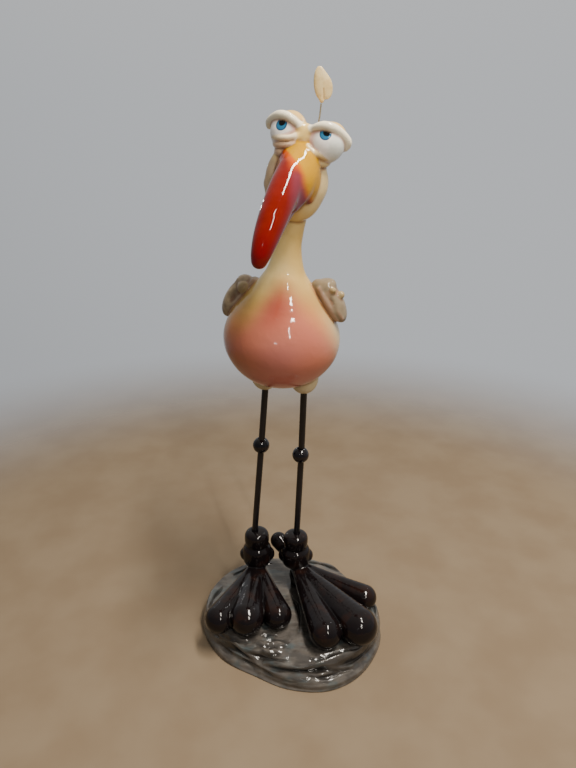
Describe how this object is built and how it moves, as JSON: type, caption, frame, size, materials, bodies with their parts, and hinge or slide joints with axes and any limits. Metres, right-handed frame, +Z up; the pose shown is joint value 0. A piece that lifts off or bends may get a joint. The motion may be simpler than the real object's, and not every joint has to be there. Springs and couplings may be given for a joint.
{
  "type": "ceramic bird statue",
  "caption": "Glazed ceramic bird with a long drooping beak, round body and thin steel legs, standing with big webbed feet on a low rock-like ceramic base.",
  "frame": {"origin": "middle of the base's flat underside", "axes": "+Z up along the statue's height, the bird faces -Y turned 15 degrees towards -X, +X to the right of a viewer in front of it"},
  "size_m": [0.177, 0.158, 0.5001],
  "materials": {
    "ground_glaze": "warm grey glossy glaze with bluish pools",
    "foot_glaze": "near-black brown glossy glaze",
    "leg_enamel": "black painted rod, taken to be steel",
    "knee_glaze": "black gloss, taken to be glazed ceramic",
    "bird_glaze": "cream glossy glaze with a pink belly, white eyes and a red and yellow beak",
    "crest_steel": "dull bare wire, taken to be steel",
    "leaf_glaze": "satin cream, taken to be ceramic"
  },
  "bodies": {
    "root": {"base": "ground_glaze", "left_foot": "foot_glaze", "right_foot": "foot_glaze", "left_leg_rod": "leg_enamel", "right_leg_rod": "leg_enamel", "left_knee_ball": "knee_glaze", "right_knee_ball": "knee_glaze", "bird": "bird_glaze", "crest_wire": "crest_steel", "crest_leaf": "leaf_glaze"}
  },
  "joints": []
}
